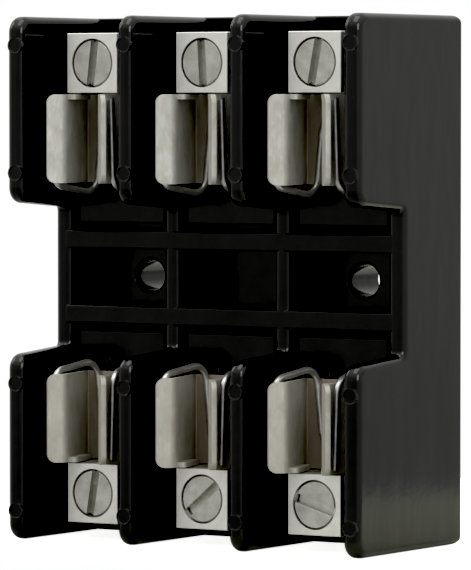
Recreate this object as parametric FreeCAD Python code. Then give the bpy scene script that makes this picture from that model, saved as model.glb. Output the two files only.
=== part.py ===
"""Three-pole panel fuse block for 10.3 x 57 mm cartridge fuses, modelled as its loose pieces.

Frame: X across the poles, Y from the front (negative) to the panel face (zero), Z along the fuses.
The origin is the middle of the line between the two mounting holes, on the panel face.
"Depth" is a distance behind the front edges of the barriers, so y = depth - BLOCK_DEPTH.
"""
import FreeCAD, Part
import math
import os

Vec = FreeCAD.Vector

# ---- driving dimensions, millimetres ------------------------------------------------------

POLE_PITCH = 20.85
POLE_COUNT = 3
BLOCK_HEIGHT = 83.9
BLOCK_DEPTH = 31.5
BARRIER_THICK = 2.7
END_WALL_THICK = 3.0
BARRIER_CORNER = 2.6
BACK_CORNER = 1.3
END_WALL_ROUND = 1.2
BARRIER_ROUND = 1.1

NOTCH_HALF_FRONT = 12.25
NOTCH_HALF_REAR = 11.25
NOTCH_CORNER = 2.5
NOTCH_ROOT = 0.8
RIB_DEPTH = 13.7
RIB_NEAR = 4.65
RIB_FAR = 7.55

FLOOR_DEPTH = 22.8
PAD_DEPTH = 15.2
PAD_GAP = 0.8
PAD_NEAR = 8.7
PAD_FAR = 29.2
WELL_DEPTH = 24.4
WELL_HALF_WIDTH = 6.0
WELL_FAR = 40.3

MOUNT_SPACING = 40.6
MOUNT_HOLE_R = 2.6
MOUNT_CHAMFER = 0.45

PIN_MARK_R = 1.35
PIN_MARK_RIM = 0.22
PIN_MARK_SINK = 0.12
PIN_MARK_HEIGHTS = (16.9, 37.3)
PANEL_RISE = 0.1
PANEL_NEAR = 32.6
PANEL_FAR = 39.0
PANEL_FRONT = 1.0
PANEL_DEPTH = 7.0
PANEL_CORNER = 1.0
RIB_ROUND = 0.25
PAD_ROUND = 0.3
PLATE_ROUND = 0.3

SHEET = 0.8
CLIP_NEAR = 15.3
CLIP_FAR = 29.5
LIP_TIP = (5.2, 1.55)
THROAT = (3.05, 3.7)
THROAT_BEND = 1.3
ARM_FOOT_HALF = 6.1
FOOT_BEND = 0.2
LIP_CORNER = 1.4
STOP_REACH = 1.5
STOP_FRONT_DEPTH = 4.9
STOP_REAR_DEPTH = 12.4
STOP_CORNER = 0.6
TANG_HALF_WIDTH = 3.1
TANG_FAR = 38.8
TANG_CORNER = 0.8
CLIP_HOLE_CLEARANCE = 0.05

# The wire's points are (x, depth, z); its heel lies on the clip's floor, so it has (x, z).
WIRE_R = 0.58
WIRE_GAP = 0.02
WIRE_HEAD_GAP = 0.12
WIRE_LEG_END = (4.9, 4.85, 28.7)
WIRE_CORNER = (5.8, 4.1, 15.1)
WIRE_CORNER_BEND = 2.4
WIRE_HEEL = (3.95, 13.4)
WIRE_HEEL_BEND = 2.3

CLIP_SCREW_Z = 22.8
CLIP_SCREW_R = 1.75
CLIP_HEAD_R = 2.3
CLIP_HEAD_HEIGHT = 1.6
CLIP_HEAD_ROUND = 0.7
CLIP_SLOT_WIDTH = 0.8
CLIP_SLOT_DEPTH = 0.8
CLIP_SCREW_STICK_OUT = 0.8
CLIP_SCREW_TIP = 0.4
SHANK_HOLE_CLEARANCE = 0.1
NUT_FLATS = 7.9
NUT_HEIGHT = 2.8
NUT_CHAMFER = 0.45
NUT_BORE_CLEARANCE = 0.02
NUT_POCKET_DEPTH = 22.6
NUT_POCKET_CLEARANCE = 0.15

LUG_WIDTH = 9.7
LUG_HEIGHT = 9.6
LUG_LENGTH = 14.6
LUG_NEAR = 29.7
LUG_DEPTH = 6.7
LUG_FRONT_WALL = 3.8
LUG_BACK_WALL = 1.8
LUG_OPENING_HALF = 3.3
LUG_OPENING_CORNER = 0.6
LUG_BORE_LENGTH = 10.2
LUG_EDGE = 0.1

LUG_SCREW_R = 3.8
LUG_SCREW_CLEARANCE = 0.12
LUG_SCREW_SINK = 0.1
THREAD_PITCH = 1.058
THREAD_HEIGHT = 0.5
THREAD_CREST = 0.1
THREAD_START = 0.25
SLOT_WIDTH = 1.4
SLOT_DEPTH = 1.4
SCREW_EDGE = 0.25
SCREW_EDGE_DEPTH = 0.35
SEAT_GAP = 0.03

# Slot directions as the screws were left, in degrees from upright, clockwise seen from the front.
SLOT_TURNS = {"line": (7.0, -3.5, 10.5), "load": (9.5, 50.0, 107.0)}

# How far a cutter, or a piece that is fused on, runs past the face that it meets.
OVERRUN = 1.0

# ---- values that follow from them ---------------------------------------------------------

POLE_CENTRES = [POLE_PITCH * (i - (POLE_COUNT - 1) / 2) for i in range(POLE_COUNT)]
HALF_HEIGHT = BLOCK_HEIGHT / 2
HALF_INSIDE = POLE_PITCH * POLE_COUNT / 2 - BARRIER_THICK / 2
HALF_WIDTH = HALF_INSIDE + END_WALL_THICK
ACROSS = (-HALF_INSIDE - OVERRUN, HALF_INSIDE + OVERRUN)
COMPARTMENT_HALF = (POLE_PITCH - BARRIER_THICK) / 2
CLIP_FLOOR_DEPTH = PAD_DEPTH - SHEET
LUG_MID = LUG_NEAR + LUG_HEIGHT / 2
LUG_SCREW_FRONT = LUG_DEPTH + LUG_SCREW_SINK
LUG_SCREW_LENGTH = CLIP_FLOOR_DEPTH - SEAT_GAP - LUG_SCREW_FRONT


# ---- small geometry helpers ---------------------------------------------------------------

def at_depth(depth):
    """Y coordinate of a plane at the given depth behind the barriers' front edges."""
    return depth - BLOCK_DEPTH


def box(x_range, depth_range, z_range):
    """Box between two X values, two depths and two Z values."""
    size = [r[1] - r[0] for r in (x_range, depth_range, z_range)]
    return Part.makeBox(*size, Vec(x_range[0], at_depth(depth_range[0]), z_range[0]))


def rod(radius, x, z, depth_range):
    """Cylinder along Y between two depths."""
    start = Vec(x, at_depth(depth_range[0]), z)
    return Part.makeCylinder(radius, depth_range[1] - depth_range[0], start, Vec(0, 1, 0))


def entry_cone(radius, chamfer, x, z, depth):
    """Cutter for the chamfered mouth of a hole whose face is at the given depth."""
    return Part.makeCone(radius + chamfer, radius, chamfer, Vec(x, at_depth(depth), z), Vec(0, 1, 0))


def round_front(solid, depth, radius):
    """Round all the edges that lie in the face at the given depth."""
    edges = [e for e in solid.Edges if abs(e.BoundBox.YMax - at_depth(depth)) < 1e-4
             and e.BoundBox.YLength < 1e-4]
    return solid.makeFillet(radius, edges)


def corner_arc(previous, point, following, radius):
    """Tangent arc that turns a path at a point, with the points where it starts and ends."""
    before = (previous - point).normalize()
    after = (following - point).normalize()
    half = before.getAngle(after) / 2
    setback = radius / math.tan(half)
    middle = point + (before + after).normalize() * (radius / math.sin(half) - radius)
    start = point + before * setback
    end = point + after * setback
    return Part.Arc(start, middle, end).toShape(), start, end


def rounded_outline(corners):
    """Closed wire through (point, radius) corners, each turned by a tangent arc."""
    edges = []
    joints = []
    for i, (point, radius) in enumerate(corners):
        if radius == 0:
            joints.append((point, point))
            continue
        following = corners[(i + 1) % len(corners)][0]
        arc, start, end = corner_arc(corners[i - 1][0], point, following, radius)
        edges.append(arc)
        joints.append((start, end))
    for i, (_, end) in enumerate(joints):
        following = joints[(i + 1) % len(joints)][0]
        if end.distanceToPoint(following) > 1e-6:
            edges.append(Part.LineSegment(end, following).toShape())
    return Part.Wire(Part.__sortEdges__(edges))


def side_prism(outline, x_range):
    """Solid from an outline of ((depth, z), radius) corners, drawn from the side, along X."""
    corners = [(Vec(x_range[0], at_depth(d), z), r) for (d, z), r in outline]
    face = Part.Face(rounded_outline(corners))
    return face.extrude(Vec(x_range[1] - x_range[0], 0, 0))


def round_side(solid, x, radius):
    """Round the edges of a side face at x, except the one on the panel face."""
    edges = []
    for edge in solid.Edges:
        middle = edge.CenterOfMass
        on_side = abs(middle.x - x) < 1e-4 and edge.BoundBox.XLength < 1e-4
        if on_side and middle.y < -1e-3:
            edges.append(edge)
    return solid.makeFillet(radius, edges)


def end_copies(shape):
    """The shape at the line end and its mirror image at the load end."""
    return [shape, shape.mirror(Vec(0, 0, 0), Vec(0, 0, 1))]


def placed(shape, pole_x, end):
    """A copy moved to its pole, turned over for the load end."""
    copy = shape.mirror(Vec(0, 0, 0), Vec(0, 0, 1)) if end == "load" else shape.copy()
    copy.translate(Vec(pole_x, 0, 0))
    return copy


# ---- the moulded base ---------------------------------------------------------------------

def barrier_outline(back_corner):
    """Side outline of a barrier: two full-depth fins joined by a low rib across the notch."""
    upper = [((BLOCK_DEPTH, HALF_HEIGHT), back_corner), ((0, HALF_HEIGHT), BARRIER_CORNER),
             ((0, NOTCH_HALF_FRONT), NOTCH_CORNER), ((RIB_DEPTH, NOTCH_HALF_REAR), NOTCH_ROOT)]
    lower = [((depth, -z), radius) for (depth, z), radius in reversed(upper)]
    return upper + lower


def pin_lands(x):
    """Round ejector-pin lands that square off the rounded front edge of one barrier."""
    lands = []
    for z in PIN_MARK_HEIGHTS:
        lands += end_copies(rod(PIN_MARK_R, x, z, (0, OVERRUN)))
    return lands


def pin_dishes(x):
    """Shallow dishes to cut into the pin lands, which leave a thin rim."""
    dishes = []
    for z in PIN_MARK_HEIGHTS:
        dishes += end_copies(rod(PIN_MARK_R - PIN_MARK_RIM, x, z, (-OVERRUN, PIN_MARK_SINK)))
    return dishes


def side_panels(x_face, direction):
    """Thin raised panels on a barrier's face beside the terminals."""
    x_range = sorted((x_face - direction * OVERRUN, x_face + direction * PANEL_RISE))
    outline = [((PANEL_FRONT, PANEL_FAR), 0), ((PANEL_FRONT, PANEL_NEAR), 0),
               ((PANEL_DEPTH, PANEL_NEAR), PANEL_CORNER), ((PANEL_DEPTH, PANEL_FAR), PANEL_CORNER)]
    return end_copies(side_prism(outline, x_range))


def end_wall(side):
    """Outer wall of the block on one side (-1 left, +1 right)."""
    inner = side * HALF_INSIDE
    outer = side * HALF_WIDTH
    x_range = sorted((inner, outer))
    wall = side_prism(barrier_outline(0), x_range)
    wall = round_side(wall, outer, END_WALL_ROUND)
    wall = round_side(wall, inner, BARRIER_ROUND)
    wall = wall.common(side_prism(barrier_outline(BACK_CORNER), x_range))
    mark_x = inner + side * PIN_MARK_R
    wall = wall.fuse(pin_lands(mark_x) + side_panels(inner, -side))
    return wall.cut(pin_dishes(mark_x))


def inner_barrier(x):
    """Barrier between two poles."""
    left = x - BARRIER_THICK / 2
    right = x + BARRIER_THICK / 2
    fin = side_prism(barrier_outline(BACK_CORNER), (left, right))
    fin = round_side(fin, left, BARRIER_ROUND)
    fin = round_side(fin, right, BARRIER_ROUND)
    fin = fin.fuse(pin_lands(x) + side_panels(left, -1) + side_panels(right, 1))
    return fin.cut(pin_dishes(x))


def cross_ribs():
    """Two low ribs across the whole block, above and below the mounting holes."""
    rib = box(ACROSS, (RIB_DEPTH, FLOOR_DEPTH + OVERRUN), (RIB_NEAR, RIB_FAR))
    return end_copies(round_front(rib, RIB_DEPTH, RIB_ROUND))


def clip_pad(x):
    """Raised pad that a fuse clip is screwed to."""
    half = COMPARTMENT_HALF - PAD_GAP
    pad = box((x - half, x + half), (PAD_DEPTH, FLOOR_DEPTH + OVERRUN), (PAD_NEAR, PAD_FAR))
    return end_copies(round_front(pad, PAD_DEPTH, PAD_ROUND))


def lug_well(x):
    """Sunk well behind a box lug, for its travel."""
    half = WELL_HALF_WIDTH
    return box((x - half, x + half), (PAD_DEPTH - OVERRUN, WELL_DEPTH), (PAD_FAR, WELL_FAR))


def hexagon_prism(flats, x, z, depth_range):
    """Hexagonal prism along Y with its points up and down."""
    radius = flats / 2 / math.cos(math.pi / 6)
    corners = []
    for i in range(6):
        angle = math.pi / 6 + math.pi / 3 * i
        offset = Vec(radius * math.cos(angle), 0, radius * math.sin(angle))
        corners.append(Vec(x, at_depth(depth_range[0]), z) + offset)
    face = Part.Face(Part.makePolygon(corners + corners[:1]))
    return face.extrude(Vec(0, depth_range[1] - depth_range[0], 0))


def mounting_hole(x):
    """Through hole with a small entry chamfer."""
    hole = rod(MOUNT_HOLE_R, x, 0, (FLOOR_DEPTH - OVERRUN, BLOCK_DEPTH + OVERRUN))
    return hole.fuse(entry_cone(MOUNT_HOLE_R, MOUNT_CHAMFER, x, 0, FLOOR_DEPTH))


def base_block():
    """The one-piece moulded base."""
    front = [((FLOOR_DEPTH, HALF_HEIGHT), PLATE_ROUND), ((FLOOR_DEPTH, -HALF_HEIGHT), PLATE_ROUND)]
    back = [((BLOCK_DEPTH, -HALF_HEIGHT), BACK_CORNER), ((BLOCK_DEPTH, HALF_HEIGHT), BACK_CORNER)]
    plate = side_prism(front + back, ACROSS)
    added = [end_wall(-1), end_wall(1)] + cross_ribs()
    removed = []
    for x in POLE_CENTRES[:-1]:
        added.append(inner_barrier(x + POLE_PITCH / 2))
    for x in POLE_CENTRES:
        added += clip_pad(x)
        shank_hole = rod(CLIP_SCREW_R + SHANK_HOLE_CLEARANCE, x, CLIP_SCREW_Z,
                         (PAD_DEPTH - OVERRUN, BLOCK_DEPTH + OVERRUN))
        pocket = hexagon_prism(NUT_FLATS + 2 * NUT_POCKET_CLEARANCE, x, CLIP_SCREW_Z,
                               (NUT_POCKET_DEPTH, BLOCK_DEPTH + OVERRUN))
        for cutter in (lug_well(x), shank_hole, pocket):
            removed += end_copies(cutter)
    removed += [mounting_hole(-MOUNT_SPACING / 2), mounting_hole(MOUNT_SPACING / 2)]
    return plate.fuse(added).cut(removed).removeSplitter()


# ---- the fuse clip and its wire spring ----------------------------------------------------

def clip_section():
    """Corners (x, depth) and bend radii of the clip's inner surface, from one lip to the other."""
    half = [(LIP_TIP, 0), (THROAT, THROAT_BEND), ((ARM_FOOT_HALF, CLIP_FLOOR_DEPTH), FOOT_BEND)]
    mirrored = [((-x, depth), radius) for (x, depth), radius in reversed(half)]
    return half + mirrored


def offset_corners(corners, distance):
    """Corners of a parallel path, the given distance to the right of the direction of travel."""
    points = [Vec(x, depth, 0) for (x, depth), _ in corners]
    ways = [(b - a).normalize() for a, b in zip(points, points[1:])]
    normals = [Vec(w.y, -w.x, 0) for w in ways]
    moved = [points[0] + normals[0] * distance]
    for i in range(1, len(points) - 1):
        bisector = (normals[i - 1] + normals[i]).normalize()
        moved.append(points[i] + bisector * (distance / bisector.dot(normals[i])))
    moved.append(points[-1] + normals[-1] * distance)
    return moved


def clip_strip():
    """The bent strip of the clip: both lips with rounded corners, both arms and the floor."""
    inner = clip_section()
    outer_bends = [0, THROAT_BEND - SHEET, FOOT_BEND + SHEET, FOOT_BEND + SHEET,
                   THROAT_BEND - SHEET, 0]
    outside = offset_corners(inner, SHEET)
    outer = [((point.x, point.y), bend) for point, bend in zip(outside, outer_bends)]
    loop = inner + outer[::-1]
    corners = [(Vec(x, at_depth(depth), CLIP_NEAR), radius) for (x, depth), radius in loop]
    strip = Part.Face(rounded_outline(corners)).extrude(Vec(0, 0, CLIP_FAR - CLIP_NEAR))
    tips = [e for e in strip.Edges if abs(e.Length - SHEET) < 1e-4
            and e.CenterOfMass.y < at_depth(THROAT[1])]
    return strip.makeFillet(LIP_CORNER, tips)


def end_stop(side):
    """Tab bent in from one arm at the outer end, which stops the fuse sliding out."""
    slope = (ARM_FOOT_HALF - THROAT[0]) / (CLIP_FLOOR_DEPTH - THROAT[1])
    corners = []
    for depth, reach in ((STOP_FRONT_DEPTH, -SHEET / 2), (STOP_REAR_DEPTH, -SHEET / 2),
                         (STOP_REAR_DEPTH, STOP_REACH), (STOP_FRONT_DEPTH, STOP_REACH)):
        arm_x = THROAT[0] + slope * (depth - THROAT[1])
        radius = STOP_CORNER if reach > 0 else 0
        corners.append((Vec(side * (arm_x - reach), at_depth(depth), CLIP_FAR - SHEET), radius))
    face = Part.Face(rounded_outline(corners))
    return face.extrude(Vec(0, 0, SHEET))


def fuse_clip():
    """Tin-plated fuse clip with its terminal tang, at the line end of a pole at x = 0."""
    tang = box((-TANG_HALF_WIDTH, TANG_HALF_WIDTH), (CLIP_FLOOR_DEPTH, PAD_DEPTH),
               (CLIP_FAR - OVERRUN, TANG_FAR))
    corners = [e for e in tang.Edges if abs(e.CenterOfMass.z - TANG_FAR) < 1e-4
               and abs(e.BoundBox.XLength) < 1e-4]
    tang = tang.makeFillet(TANG_CORNER, corners)
    hole = rod(CLIP_SCREW_R + CLIP_HOLE_CLEARANCE, 0, CLIP_SCREW_Z,
               (CLIP_FLOOR_DEPTH - OVERRUN, PAD_DEPTH + OVERRUN))
    return clip_strip().fuse([tang, end_stop(-1), end_stop(1)]).cut(hole).removeSplitter()


def wire_half(side):
    """Half of the spring's path, from the free end of a leg to the side of the screw head."""
    floor = CLIP_FLOOR_DEPTH - WIRE_R - WIRE_GAP
    hook_r = CLIP_HEAD_R + WIRE_HEAD_GAP + WIRE_R
    run = CLIP_SCREW_Z - WIRE_HEEL[1]
    reach = math.hypot(WIRE_HEEL[0], run)
    lean = math.asin(hook_r / reach) - math.atan2(WIRE_HEEL[0], run)
    touch = Vec(side * hook_r * math.cos(lean), at_depth(floor),
                CLIP_SCREW_Z + hook_r * math.sin(lean))

    def point(x, depth, z):
        return Vec(side * x, at_depth(depth), z)

    leg_end = point(*WIRE_LEG_END)
    corner = point(*WIRE_CORNER)
    heel = point(WIRE_HEEL[0], floor, WIRE_HEEL[1])
    corner_bend, corner_start, corner_end = corner_arc(leg_end, corner, heel, WIRE_CORNER_BEND)
    heel_bend, heel_start, heel_end = corner_arc(corner, heel, touch, WIRE_HEEL_BEND)
    edges = [Part.LineSegment(leg_end, corner_start).toShape(), corner_bend,
             Part.LineSegment(corner_end, heel_start).toShape(), heel_bend,
             Part.LineSegment(heel_end, touch).toShape()]
    return edges, touch, Vec(0, touch.y, CLIP_SCREW_Z + hook_r)


def clip_spring():
    """Round wire spring that presses both arms of the clip inwards."""
    left, left_touch, crown = wire_half(-1)
    right, right_touch, _ = wire_half(1)
    hook = Part.Arc(left_touch, crown, right_touch).toShape()
    path = Part.Wire(Part.__sortEdges__(left + [hook] + right))
    start = path.OrderedEdges[0]
    origin = path.OrderedVertexes[0].Point
    section = Part.Wire(Part.Circle(origin, start.tangentAt(start.FirstParameter), WIRE_R).toShape())
    pipe = path.makePipeShell([section], True, True)
    return Part.Solid(pipe) if pipe.ShapeType == "Shell" else pipe


# ---- fasteners ----------------------------------------------------------------------------

def turned(profile, x, z):
    """Solid of revolution about an axis along Y, from (radius, depth) points."""
    points = [Vec(x + radius, at_depth(depth), z) for radius, depth in profile]
    face = Part.Face(Part.makePolygon(points + points[:1]))
    return face.revolve(Vec(x, 0, z), Vec(0, 1, 0), 360)


def driver_slot(z, front, radius, width, depth, turn):
    """Cutter for a screwdriver slot, turned clockwise from upright."""
    slot = box((-width / 2, width / 2), (front - OVERRUN, front + depth),
               (z - radius - OVERRUN, z + radius + OVERRUN))
    slot.rotate(Vec(0, 0, z), Vec(0, 1, 0), turn)
    return slot


def clip_screw():
    """Pan-head screw that holds a clip to its pad."""
    front = CLIP_FLOOR_DEPTH - CLIP_HEAD_HEIGHT
    tip = NUT_POCKET_DEPTH + NUT_HEIGHT + CLIP_SCREW_STICK_OUT
    profile = [(0, front), (CLIP_HEAD_R, front), (CLIP_HEAD_R, CLIP_FLOOR_DEPTH),
               (CLIP_SCREW_R, CLIP_FLOOR_DEPTH), (CLIP_SCREW_R, tip - CLIP_SCREW_TIP),
               (CLIP_SCREW_R - CLIP_SCREW_TIP, tip), (0, tip)]
    screw = round_front(turned(profile, 0, CLIP_SCREW_Z), front, CLIP_HEAD_ROUND)
    slot = driver_slot(CLIP_SCREW_Z, front, CLIP_HEAD_R, CLIP_SLOT_WIDTH, CLIP_SLOT_DEPTH, 90)
    return screw.cut(slot)


def clip_nut():
    """Hexagon nut in the pocket in the panel face."""
    depths = (NUT_POCKET_DEPTH, NUT_POCKET_DEPTH + NUT_HEIGHT)
    blank = hexagon_prism(NUT_FLATS, 0, CLIP_SCREW_Z, depths)
    face_r = NUT_FLATS / 2
    corner_r = face_r / math.cos(math.pi / 6)
    dome = [(0, depths[0]), (corner_r, depths[0]), (corner_r, depths[1] - NUT_CHAMFER),
            (face_r, depths[1]), (0, depths[1])]
    bore = rod(CLIP_SCREW_R + NUT_BORE_CLEARANCE, 0, CLIP_SCREW_Z,
               (depths[0] - OVERRUN, depths[1] + OVERRUN))
    return blank.common(turned(dome, 0, CLIP_SCREW_Z)).cut(bore)


def box_lug():
    """Box lug: threaded front wall, wire opening along Z, and a back wall that clamps the wire."""
    back = LUG_DEPTH + LUG_LENGTH
    half = LUG_WIDTH / 2
    body = box((-half, half), (LUG_DEPTH, back), (LUG_NEAR, LUG_NEAR + LUG_HEIGHT))
    body = body.makeChamfer(LUG_EDGE, body.Edges)
    opening = box((-LUG_OPENING_HALF, LUG_OPENING_HALF),
                  (LUG_DEPTH + LUG_FRONT_WALL, back - LUG_BACK_WALL),
                  (LUG_NEAR - OVERRUN, LUG_NEAR + LUG_HEIGHT + OVERRUN))
    along = [e for e in opening.Edges if e.BoundBox.ZLength > LUG_HEIGHT]
    opening = opening.makeFillet(LUG_OPENING_CORNER, along)
    bore = rod(LUG_SCREW_R + LUG_SCREW_CLEARANCE, 0, LUG_MID,
               (LUG_DEPTH - OVERRUN, LUG_DEPTH + LUG_BORE_LENGTH))
    return body.cut([opening, bore])


def lug_screw(turn):
    """Slotted clamping screw of a box lug, with ridges for its thread."""
    front = LUG_SCREW_FRONT
    tip = front + LUG_SCREW_LENGTH
    major = LUG_SCREW_R
    minor = LUG_SCREW_R - THREAD_HEIGHT
    flank = THREAD_PITCH * (1 - THREAD_CREST) / 2
    profile = [(0, front), (major - SCREW_EDGE, front), (major, front + SCREW_EDGE_DEPTH)]
    depth = front + SCREW_EDGE_DEPTH + THREAD_START
    while depth + THREAD_PITCH < tip:
        profile += [(major, depth), (minor, depth + flank), (major, depth + 2 * flank)]
        depth += THREAD_PITCH
    profile += [(minor, tip), (0, tip)]
    screw = turned(profile, 0, LUG_MID)
    return screw.cut(driver_slot(LUG_MID, front, major, SLOT_WIDTH, SLOT_DEPTH, turn))


# ---- the assembly -------------------------------------------------------------------------

def write(name, shape):
    shape.exportStep("parts/%s.step" % name)
    bounds = shape.BoundBox
    print("%-22s solids %d valid %s volume %8.1f  x %6.1f %6.1f  y %6.1f %6.1f  z %6.1f %6.1f" % (
        name, len(shape.Solids), shape.isValid(), shape.Volume, bounds.XMin, bounds.XMax,
        bounds.YMin, bounds.YMax, bounds.ZMin, bounds.ZMax))


def main():
    os.makedirs("parts", exist_ok=True)
    write("base_block", base_block())
    shared = {"fuse_clip": fuse_clip(), "clip_spring": clip_spring(), "clip_screw": clip_screw(),
              "clip_nut": clip_nut(), "box_lug": box_lug()}
    for end in ("line", "load"):
        for pole, pole_x in enumerate(POLE_CENTRES):
            suffix = "_%s_%d" % (end, pole + 1)
            for name, shape in shared.items():
                write(name + suffix, placed(shape, pole_x, end))
            shown_turn = SLOT_TURNS[end][pole]
            turn = shown_turn if end == "line" else -shown_turn
            write("lug_screw" + suffix, placed(lug_screw(turn), pole_x, end))


main()
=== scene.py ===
"""Looks of a three-pole cartridge fuse block: finishes, floor, studio light and camera.

Metres throughout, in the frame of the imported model: X across the poles, -Y the front, +Z up.
Texture coordinates and bump heights are in millimetres, which suits the size of the detail.
"""
import math

import bpy
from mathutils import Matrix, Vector


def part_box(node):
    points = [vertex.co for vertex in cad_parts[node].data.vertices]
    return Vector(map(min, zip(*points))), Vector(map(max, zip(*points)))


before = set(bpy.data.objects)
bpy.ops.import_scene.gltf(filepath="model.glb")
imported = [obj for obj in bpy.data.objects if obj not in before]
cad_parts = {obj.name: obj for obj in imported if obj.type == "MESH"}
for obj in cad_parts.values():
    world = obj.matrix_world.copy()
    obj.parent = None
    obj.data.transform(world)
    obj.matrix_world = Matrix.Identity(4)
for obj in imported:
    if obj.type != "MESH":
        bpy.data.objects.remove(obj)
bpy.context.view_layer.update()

MM = 0.001
BLOCK_LOW, BLOCK_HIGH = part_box("base_block")

# ---- camera and light, in metres and degrees ----------------------------------------------

CAMERA_AZIMUTH = 32.4
CAMERA_PITCH = 2.17
CAMERA_DISTANCE = 0.728
CAMERA_HEIGHT = 0.0278
CAMERA_OFFSET = 0.01632
CAMERA_LENS = 300
END_WALL = 0.003

TENT_FRONT = 0.75
TENT_ROOF = 0.5
TENT_BACK = -0.02
TENT_LEFT = 0.05
TENT_RIGHT = 0.2
TENT_FOOT = -0.12
BLACK_POINT = 0.03

FLOOR_RADIUS = 0.0975
FLOOR_SHIFT = 0.045
FLOOR_DROP = 0.0001
FLOOR_GLOW = 0.9
FLOOR_FADE = 0.035


# Socket numbers of a Mix node that is set to mix colours.
MIX_FACTOR = 0
MIX_COLOURS = (6, 7)
MIX_RESULT = 2


# ---- node tree helpers --------------------------------------------------------------------

class Tree:
    """Short calls that add nodes to a node tree."""

    def __init__(self, tree):
        self.tree = tree

    def node(self, kind, inputs=(), **settings):
        made = self.tree.nodes.new(kind)
        for key, value in settings.items():
            setattr(made, key, value)
        for key, value in dict(inputs).items():
            self.feed(made.inputs[key], value)
        return made

    def feed(self, socket, value):
        if isinstance(value, bpy.types.NodeSocket):
            self.tree.links.new(value, socket)
        else:
            socket.default_value = value

    def ramp(self, value, low, high, out_low, out_high, smooth=False):
        """Change from one output to the other while the value goes from low to high."""
        inputs = {"Value": value, "From Min": low, "From Max": high,
                  "To Min": out_low, "To Max": out_high}
        shape = "SMOOTHSTEP" if smooth else "LINEAR"
        made = self.node("ShaderNodeMapRange", inputs, interpolation_type=shape)
        return made.outputs["Result"]

    def calc(self, operation, first, second=0.0):
        return self.node("ShaderNodeMath", {0: first, 1: second}, operation=operation).outputs[0]

    def total(self, *values):
        result = values[0]
        for value in values[1:]:
            result = self.calc("ADD", result, value)
        return result


class Finish(Tree):
    """One procedural material: a Principled shader and the textures that feed it."""

    def __init__(self, name, **constants):
        self.material = bpy.data.materials.new(name)
        self.material.use_nodes = True
        super().__init__(self.material.node_tree)
        self.shader = self.tree.nodes["Principled BSDF"]
        for socket, value in constants.items():
            self.shader.inputs[socket.replace("_", " ")].default_value = value
        place = self.node("ShaderNodeTexCoord").outputs["Object"]
        self.mm = self.scaled(place, (1 / MM, 1 / MM, 1 / MM))

    def scaled(self, coords, scale, move=(0, 0, 0)):
        inputs = {"Vector": coords, "Scale": scale, "Location": move}
        return self.node("ShaderNodeMapping", inputs).outputs["Vector"]

    def noise(self, size, detail=3.0, stretch=(1, 1, 1)):
        """Noise from 0 to 1 with features of about the given size in millimetres."""
        coords = self.scaled(self.mm, tuple(1 / (size * s) for s in stretch))
        inputs = {"Vector": coords, "Scale": 1.0, "Detail": detail, "Roughness": 0.55}
        return self.node("ShaderNodeTexNoise", inputs).outputs["Fac"]

    def specks(self, spacing, radius):
        """Small spots scattered at random: 1 in a spot, 0 between them."""
        coords = self.scaled(self.mm, (1 / spacing,) * 3)
        cells = self.node("ShaderNodeTexVoronoi", {"Vector": coords, "Scale": 1.0})
        return self.ramp(cells.outputs["Distance"], radius / spacing, 0.4 * radius / spacing, 0, 1)

    def blend(self, factor, first, second):
        """Mix two colours, each of them a socket or three numbers."""
        mix = self.node("ShaderNodeMix", data_type="RGBA")
        self.feed(mix.inputs[MIX_FACTOR], factor)
        for index, colour in zip(MIX_COLOURS, (first, second)):
            self.feed(mix.inputs[index], (*colour, 1) if isinstance(colour, tuple) else colour)
        return mix.outputs[MIX_RESULT]

    def edges(self, radius):
        """1 at convex and concave edges and 0 on the faces, within a radius in millimetres."""
        soft = self.node("ShaderNodeBevel", {"Radius": radius * MM}, samples=4).outputs[0]
        sharp = self.node("ShaderNodeNewGeometry").outputs["Normal"]
        match = self.node("ShaderNodeVectorMath", {0: soft, 1: sharp}, operation="DOT_PRODUCT")
        return self.ramp(match.outputs["Value"], 0.995, 0.85, 0, 1)

    def relief(self, *heights, edge=None):
        """Bump from heights in millimetres, over normals softened within an edge radius."""
        inputs = {"Height": self.total(*heights), "Strength": 1.0, "Distance": MM}
        if edge:
            soft = self.node("ShaderNodeBevel", {"Radius": edge * MM}, samples=6)
            inputs["Normal"] = soft.outputs[0]
        self.feed(self.shader.inputs["Normal"], self.node("ShaderNodeBump", inputs).outputs[0])

    def surface(self, colour, roughness):
        self.feed(self.shader.inputs["Base Color"], colour)
        self.feed(self.shader.inputs["Roughness"], roughness)


# ---- finishes -----------------------------------------------------------------------------

def moulded_black():
    """Glossy black moulding compound: faint flow marks, orange peel and a little dust."""
    f = Finish("moulded_black", IOR=1.52)
    flow = f.noise(6.0, 4.0, stretch=(1, 1, 3.0))
    cloud = f.noise(2.6, 4.0)
    grain = f.noise(0.22, 2.0)
    dust = f.specks(1.1, 0.05)
    lint = f.calc("MULTIPLY", dust, f.ramp(f.noise(5.0, 2.0), 0.5, 0.62, 0, 1))
    rub = f.edges(0.25)
    darker, paler = (0.0022, 0.0022, 0.0022), (0.0045, 0.0045, 0.0042)
    colour = f.blend(f.ramp(flow, 0.35, 0.65, 0, 1), darker, paler)
    colour = f.blend(f.calc("MULTIPLY", rub, 0.25), colour, (0.05, 0.05, 0.048))
    colour = f.blend(f.calc("MULTIPLY", lint, 0.5), colour, (0.22, 0.21, 0.19))
    roughness = f.ramp(flow, 0.3, 0.7, 0.07, 0.11)
    roughness = f.calc("ADD", roughness, f.ramp(cloud, 0.35, 0.7, 0.0, 0.04))
    roughness = f.calc("ADD", roughness, f.calc("MULTIPLY", lint, 0.3))
    f.surface(colour, roughness)
    f.relief(f.ramp(flow, 0, 1, 0, 0.08), f.ramp(cloud, 0, 1, 0, 0.02),
             f.ramp(grain, 0, 1, 0, 0.0016), edge=0.12)
    return f.material


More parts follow.
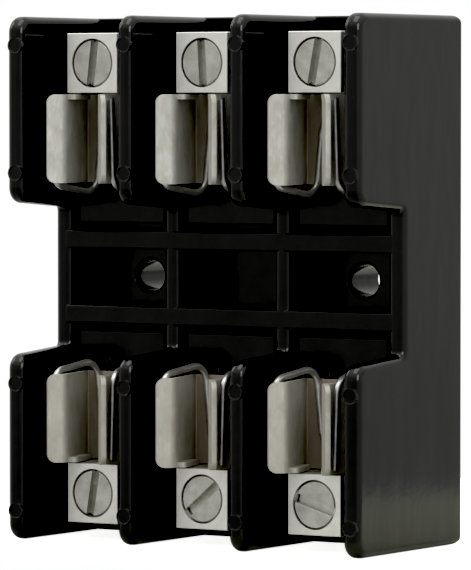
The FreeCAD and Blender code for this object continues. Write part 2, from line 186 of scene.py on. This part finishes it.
def tin_plate():
    """Tin-plated strip: warm satin grey with rolling lines, scuffs, specks and stains.

    Painted shade makes it darker and warmer on the load clips, which sit lower, and darker and
    browner deep in every clip, towards its floor.
    """
    f = Finish("tin_plate", Metallic=0.25)
    stain = f.noise(2.2, 5.0, stretch=(1, 1, 1.6))
    streak = f.noise(0.28, 3.0, stretch=(1, 1, 12))
    rolled = f.noise(0.12, 2.0, stretch=(1, 1, 30))
    scuff = f.ramp(f.noise(0.8, 6.0, stretch=(1, 1, 2)), 0.54, 0.64, 0, 1)
    pits = f.specks(0.8, 0.09)
    rub = f.edges(0.12)
    colour = f.blend(f.ramp(stain, 0.36, 0.66, 0, 1), (0.49, 0.49, 0.45), (0.38, 0.365, 0.32))
    colour = f.blend(f.ramp(streak, 0.42, 0.7, 0, 0.6), colour, (0.38, 0.37, 0.33))
    colour = f.blend(f.calc("MULTIPLY", scuff, 0.2), colour, (0.68, 0.68, 0.65))
    colour = f.blend(f.calc("MULTIPLY", pits, 0.6), colour, (0.16, 0.14, 0.11))
    colour = f.blend(f.calc("MULTIPLY", rub, 0.5), colour, (0.72, 0.71, 0.67))
    _, inwards, height = f.node("ShaderNodeSeparateXYZ", {0: f.mm}).outputs
    # Painted shade: darker and warmer lower down, on the load clips, for light that falls more
    # from above.
    colour = f.blend(f.ramp(height, 10, -10, 0, 0.3), colour, (0.30, 0.27, 0.22))
    # Painted shade: darker and browner deeper in every clip, towards its shaded floor.
    colour = f.blend(f.ramp(inwards, -19.5, -17.2, 0, 0.6), colour, (0.22, 0.185, 0.135))
    roughness = f.ramp(stain, 0.3, 0.7, 0.40, 0.54)
    f.surface(colour, roughness)
    f.relief(f.ramp(rolled, 0, 1, 0, 0.002), f.ramp(scuff, 0, 1, 0, 0.002), edge=0.08)
    return f.material


def spring_steel():
    """Drawn steel wire with a satin shine."""
    f = Finish("spring_steel", Metallic=0.85)
    cloud = f.noise(1.5, 4.0)
    colour = f.blend(f.ramp(cloud, 0.35, 0.65, 0, 1), (0.53, 0.53, 0.52), (0.39, 0.38, 0.36))
    f.surface(colour, f.ramp(cloud, 0.3, 0.7, 0.27, 0.36))
    return f.material


def zinc_steel(name, centre):
    """Zinc-plated turned steel with fine rings about an axis along Y through the centre."""
    f = Finish(name, Metallic=1.0)
    from_axis = f.scaled(f.mm, (1, 0, 1), (-centre.x / MM, 0, -centre.z / MM))
    radius = f.node("ShaderNodeVectorMath", {0: from_axis}, operation="LENGTH").outputs["Value"]
    wobble = f.calc("MULTIPLY", f.noise(1.2, 2.0), 0.25)
    rings = f.calc("SINE", f.calc("MULTIPLY", f.calc("ADD", radius, wobble), 2 * math.pi / 0.17))
    stain = f.noise(1.7, 4.0)
    rub = f.edges(0.15)
    colour = f.blend(f.ramp(stain, 0.35, 0.7, 0, 1), (0.56, 0.56, 0.525), (0.42, 0.415, 0.375))
    colour = f.blend(f.calc("MULTIPLY", rub, 0.5), colour, (0.76, 0.75, 0.71))
    f.surface(colour, f.ramp(stain, 0.3, 0.7, 0.26, 0.38))
    f.relief(f.ramp(rings, -1, 1, 0, 0.003), f.ramp(f.noise(0.3, 3.0), 0, 1, 0, 0.004), edge=0.08)
    return f.material


def lug_alloy():
    """Plated aluminium lug: pale satin metal with faint lines along the extrusion."""
    f = Finish("lug_alloy", Metallic=1.0)
    stain = f.noise(2.4, 4.0)
    drawn = f.noise(0.10, 2.0, stretch=(1, 1, 25))
    pits = f.specks(0.8, 0.05)
    rub = f.edges(0.15)
    colour = f.blend(f.ramp(stain, 0.35, 0.7, 0, 1), (0.81, 0.81, 0.765), (0.73, 0.73, 0.685))
    colour = f.blend(f.calc("MULTIPLY", pits, 0.5), colour, (0.32, 0.31, 0.27))
    colour = f.blend(f.calc("MULTIPLY", rub, 0.25), colour, (0.86, 0.85, 0.82))
    f.surface(colour, f.ramp(stain, 0.3, 0.7, 0.38, 0.48))
    f.relief(f.ramp(drawn, 0, 1, 0, 0.0015), edge=0.05)
    return f.material


def centre_of(node):
    low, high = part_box(node)
    return (low + high) / 2


def dress(material, *names):
    for name in names:
        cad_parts[name].data.materials[0] = material


def give_finishes():
    kinds = {}
    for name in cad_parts:
        kinds.setdefault(name.rsplit("_", 2)[0], []).append(name)
    dress(moulded_black(), "base_block")
    dress(tin_plate(), *kinds["fuse_clip"])
    dress(spring_steel(), *kinds["clip_spring"])
    dress(lug_alloy(), *kinds["box_lug"])
    for kind in ("lug_screw", "clip_screw", "clip_nut"):
        for name in kinds[kind]:
            dress(zinc_steel(name + "_zinc", centre_of(name)), name)


# ---- floor, light and camera --------------------------------------------------------------

def lay_floor():
    """Round pale table top just under the block, with most of it behind.

    It is white to the camera. Reflected in the block, it is pale and turns grey towards its rim.
    """
    bpy.ops.mesh.primitive_circle_add(vertices=96, radius=FLOOR_RADIUS, fill_type="NGON")
    floor = bpy.context.object
    floor.name = "floor"
    turn = math.radians(CAMERA_AZIMUTH)
    floor.location = (FLOOR_SHIFT * math.sin(turn), FLOOR_SHIFT * math.cos(turn),
                      BLOCK_LOW.z - FLOOR_DROP)
    f = Finish("pale_floor", Specular_IOR_Level=0.2, Emission_Color=(1, 1, 1, 1))
    camera_ray = f.node("ShaderNodeLightPath").outputs["Is Camera Ray"]
    f.feed(f.shader.inputs["Emission Strength"], f.calc("MULTIPLY", camera_ray, FLOOR_GLOW))
    from_middle = f.node("ShaderNodeVectorMath", {0: f.mm}, operation="LENGTH").outputs["Value"]
    fade_start = (FLOOR_RADIUS - FLOOR_FADE) / MM
    inside = f.ramp(from_middle, fade_start, FLOOR_RADIUS / MM, 1, 0, smooth=True)
    pale = f.blend(f.noise(40.0), (0.64, 0.65, 0.56), (0.67, 0.68, 0.59))
    f.surface(f.blend(f.calc("MAXIMUM", camera_ray, inside), (0.42, 0.42, 0.40), pale), 0.8)
    floor.data.materials.append(f.material)


def softbox(name, azimuth, elevation, distance, width, height, radiance):
    """Rectangular light facing the block, from the front at azimuth 0 and the right at 90."""
    data = bpy.data.lights.new(name, "AREA")
    data.shape = "RECTANGLE"
    data.size = width
    data.size_y = height
    data.energy = radiance * math.pi * width * height
    lamp = bpy.data.objects.new(name, data)
    bpy.context.scene.collection.objects.link(lamp)
    side, up = math.radians(azimuth), math.radians(elevation)
    away = Vector((math.sin(side) * math.cos(up), -math.cos(side) * math.cos(up), math.sin(up)))
    lamp.location = away * distance
    lamp.rotation_euler = away.to_track_quat("Z", "Y").to_euler()
    lamp.visible_camera = False


def light_studio():
    """White surroundings for the camera; a soft tent, darker in front, lights the object."""
    world = bpy.data.worlds.new("studio")
    bpy.context.scene.world = world
    world.use_nodes = True
    t = Tree(world.node_tree)
    seen = t.tree.nodes["Background"]
    seen.inputs["Color"].default_value = (1, 1, 1, 1)
    way = t.node("ShaderNodeSeparateXYZ", {0: t.node("ShaderNodeTexCoord").outputs["Generated"]})
    x, y, z = way.outputs
    roof = t.ramp(z, 0.25, 0.75, 0, TENT_ROOF, smooth=True)
    back = t.ramp(y, 0.2, 0.8, 0, TENT_BACK, smooth=True)
    right = t.ramp(x, 0.55, 0.95, 0, TENT_RIGHT, smooth=True)
    left = t.ramp(x, -0.6, -0.95, 0, TENT_LEFT, smooth=True)
    foot = t.ramp(z, 0.02, -0.12, 0, TENT_FOOT, smooth=True)
    glow = t.total(roof, back, right, left, foot, TENT_FRONT)
    tent = t.node("ShaderNodeBackground", {"Color": (1.0, 1.0, 0.99, 1), "Strength": glow})
    camera_ray = t.node("ShaderNodeLightPath").outputs["Is Camera Ray"]
    pick = t.node("ShaderNodeMixShader", {0: camera_ray, 1: tent.outputs[0], 2: seen.outputs[0]})
    t.feed(t.tree.nodes["World Output"].inputs["Surface"], pick.outputs[0])
    softbox("overhead_softbox", 0, 75, 0.7, 0.6, 0.6, 2.0)
    softbox("left_softbox", -75, 35, 0.8, 0.3, 0.4, 2.0)
    softbox("right_softbox", 57, 20, 0.8, 0.3, 0.4, 4.0)


def place_camera():
    """Long lens, from the right of the front and a little above the middle."""
    turn = math.radians(CAMERA_AZIMUTH)
    forward = Vector((-math.sin(turn), math.cos(turn), 0))
    right = Vector((math.cos(turn), math.sin(turn), 0))
    corner = Vector((BLOCK_HIGH.x - END_WALL, BLOCK_LOW.y, 0))
    data = bpy.data.cameras.new("camera")
    data.lens = CAMERA_LENS
    data.sensor_width = 36
    data.clip_start = 0.05
    camera = bpy.data.objects.new("camera", data)
    bpy.context.scene.collection.objects.link(camera)
    camera.location = corner - forward * CAMERA_DISTANCE - right * CAMERA_OFFSET
    camera.location.z = CAMERA_HEIGHT
    camera.rotation_euler = (math.radians(90 - CAMERA_PITCH), 0, turn)
    bpy.context.scene.camera = camera
    bpy.context.scene.view_settings.view_transform = "Standard"
    bpy.context.scene.view_settings.use_curve_mapping = True
    curves = bpy.context.scene.view_settings.curve_mapping
    curves.black_level = (BLACK_POINT,) * 3
    curves.update()


place_camera()
give_finishes()
lay_floor()
light_studio()
